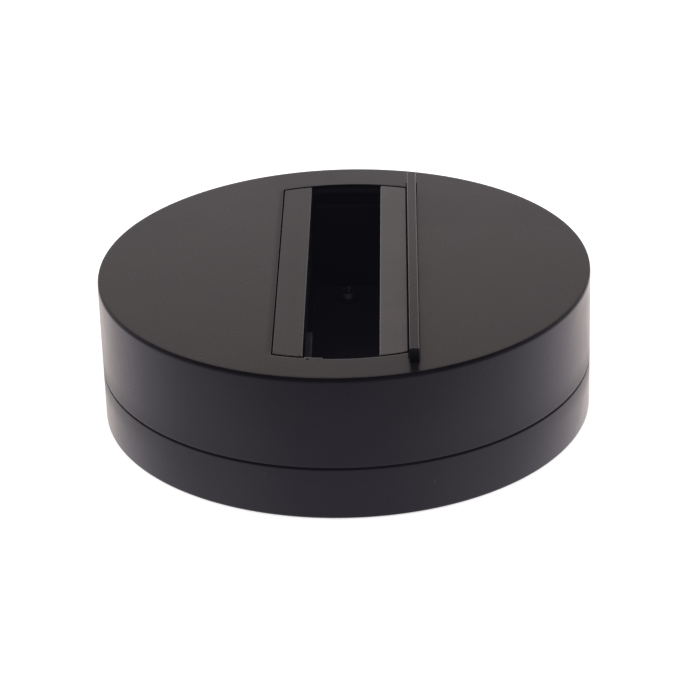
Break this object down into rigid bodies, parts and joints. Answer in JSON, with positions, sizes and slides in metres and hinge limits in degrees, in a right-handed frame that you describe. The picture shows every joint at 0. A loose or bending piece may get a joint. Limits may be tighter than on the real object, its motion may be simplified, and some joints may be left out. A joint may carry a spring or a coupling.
{
  "type": "track light point outlet",
  "caption": "Round surface-mounted outlet for one track-light adapter: ceiling base, lift-off cover with a short track section, polarity rib, terminal block and captive screws.",
  "frame": {"origin": "centre of the flat face that rests on the ceiling", "axes": "+Z from the ceiling face to the adapter side, +Y along the adapter channel, +X towards the polarity rib"},
  "size_m": [0.12, 0.12, 0.0397],
  "materials": {
    "shell_black": "satin black moulded shell",
    "rib_black": "satin black strip",
    "track_black": "satin black powder coat on extruded aluminium",
    "insulator_black": "black insulating plastic",
    "copper": "bare copper strip",
    "brass": "bare brass",
    "zinc_steel": "zinc-plated steel",
    "rubber_black": "soft black rubber",
    "terminal_ivory": "ivory polyamide",
    "wire_brown": "brown wire insulation",
    "wire_black": "black wire insulation",
    "wire_grey": "grey wire insulation",
    "wire_blue": "blue wire insulation",
    "wire_green": "green earth wire insulation"
  },
  "bodies": {
    "base": {"base_cup": "shell_black", "cable_grommet": "rubber_black", "blanking_plug": "rubber_black", "brass_insert_front": "brass", "brass_insert_rear": "brass"},
    "housing": {"cover": "shell_black", "polarity_rib": "rib_black", "track_section": "track_black", "insulator_left": "insulator_black", "insulator_right": "insulator_black", "conductor_l1": "copper", "conductor_l2": "copper", "conductor_l3": "copper", "conductor_n": "copper", "end_cap_front": "insulator_black", "end_cap_rear": "insulator_black", "track_bracket_front": "zinc_steel", "track_bracket_rear": "zinc_steel", "bracket_screw_left_front": "zinc_steel", "bracket_screw_left_rear": "zinc_steel", "bracket_screw_right_front": "zinc_steel", "bracket_screw_right_rear": "zinc_steel", "terminal_block": "terminal_ivory", "terminal_block_screw_front": "zinc_steel", "terminal_block_screw_rear": "zinc_steel", "contact_bar_1": "brass", "contact_bar_2": "brass", "contact_bar_3": "brass", "contact_bar_4": "brass", "contact_bar_5": "brass", "retaining_washer_front": "rubber_black", "retaining_washer_rear": "rubber_black", "earth_tag": "brass", "earth_screw": "zinc_steel", "link_l1": "wire_brown", "link_l2": "wire_black", "link_l3": "wire_grey", "link_n": "wire_blue", "link_earth": "wire_green"},
    "fixing_screw_front": {"fixing_screw_front": "zinc_steel"},
    "fixing_screw_rear": {"fixing_screw_rear": "zinc_steel"},
    "terminal_screw_1": {"terminal_screw_1": "zinc_steel"},
    "terminal_cage_1": {"terminal_cage_1": "brass"},
    "terminal_screw_2": {"terminal_screw_2": "zinc_steel"},
    "terminal_cage_2": {"terminal_cage_2": "brass"},
    "terminal_screw_3": {"terminal_screw_3": "zinc_steel"},
    "terminal_cage_3": {"terminal_cage_3": "brass"},
    "terminal_screw_4": {"terminal_screw_4": "zinc_steel"},
    "terminal_cage_4": {"terminal_cage_4": "brass"},
    "terminal_screw_5": {"terminal_screw_5": "zinc_steel"},
    "terminal_cage_5": {"terminal_cage_5": "brass"}
  },
  "joints": [
    {"name": "housing_lift", "type": "slide", "parent": "base", "child": "housing", "axis": [0, 0, 1], "range_m": [0, 0.04]},
    {"name": "fixing_screw_front_turn", "type": "hinge", "parent": "housing", "child": "fixing_screw_front", "pos_m": [0, -0.038, 0.0119], "axis": [0, 0, 1], "continuous": true},
    {"name": "fixing_screw_rear_turn", "type": "hinge", "parent": "housing", "child": "fixing_screw_rear", "pos_m": [0, 0.038, 0.0119], "axis": [0, 0, 1], "continuous": true},
    {"name": "terminal_screw_1_turn", "type": "hinge", "parent": "housing", "child": "terminal_screw_1", "pos_m": [-0.044, -0.016, 0.015], "axis": [0, 0, 1], "range_deg": [0, 1440]},
    {"name": "terminal_cage_1_rise", "type": "slide", "parent": "housing", "child": "terminal_cage_1", "axis": [0, 0, -1], "range_m": [0, 0.002]},
    {"name": "terminal_screw_2_turn", "type": "hinge", "parent": "housing", "child": "terminal_screw_2", "pos_m": [-0.044, -0.008, 0.015], "axis": [0, 0, 1], "range_deg": [0, 1440]},
    {"name": "terminal_cage_2_rise", "type": "slide", "parent": "housing", "child": "terminal_cage_2", "axis": [0, 0, -1], "range_m": [0, 0.002]},
    {"name": "terminal_screw_3_turn", "type": "hinge", "parent": "housing", "child": "terminal_screw_3", "pos_m": [-0.044, 0, 0.015], "axis": [0, 0, 1], "range_deg": [0, 1440]},
    {"name": "terminal_cage_3_rise", "type": "slide", "parent": "housing", "child": "terminal_cage_3", "axis": [0, 0, -1], "range_m": [0, 0.002]},
    {"name": "terminal_screw_4_turn", "type": "hinge", "parent": "housing", "child": "terminal_screw_4", "pos_m": [-0.044, 0.008, 0.015], "axis": [0, 0, 1], "range_deg": [0, 1440]},
    {"name": "terminal_cage_4_rise", "type": "slide", "parent": "housing", "child": "terminal_cage_4", "axis": [0, 0, -1], "range_m": [0, 0.002]},
    {"name": "terminal_screw_5_turn", "type": "hinge", "parent": "housing", "child": "terminal_screw_5", "pos_m": [-0.044, 0.016, 0.015], "axis": [0, 0, 1], "range_deg": [0, 1440]},
    {"name": "terminal_cage_5_rise", "type": "slide", "parent": "housing", "child": "terminal_cage_5", "axis": [0, 0, -1], "range_m": [0, 0.002]}
  ],
  "couplings": [
    {"joint": "terminal_screw_1_turn", "follows": "terminal_cage_1_rise", "rad_per_m": 12566},
    {"joint": "terminal_screw_2_turn", "follows": "terminal_cage_2_rise", "rad_per_m": 12566},
    {"joint": "terminal_screw_3_turn", "follows": "terminal_cage_3_rise", "rad_per_m": 12566},
    {"joint": "terminal_screw_4_turn", "follows": "terminal_cage_4_rise", "rad_per_m": 12566},
    {"joint": "terminal_screw_5_turn", "follows": "terminal_cage_5_rise", "rad_per_m": 12566}
  ]
}
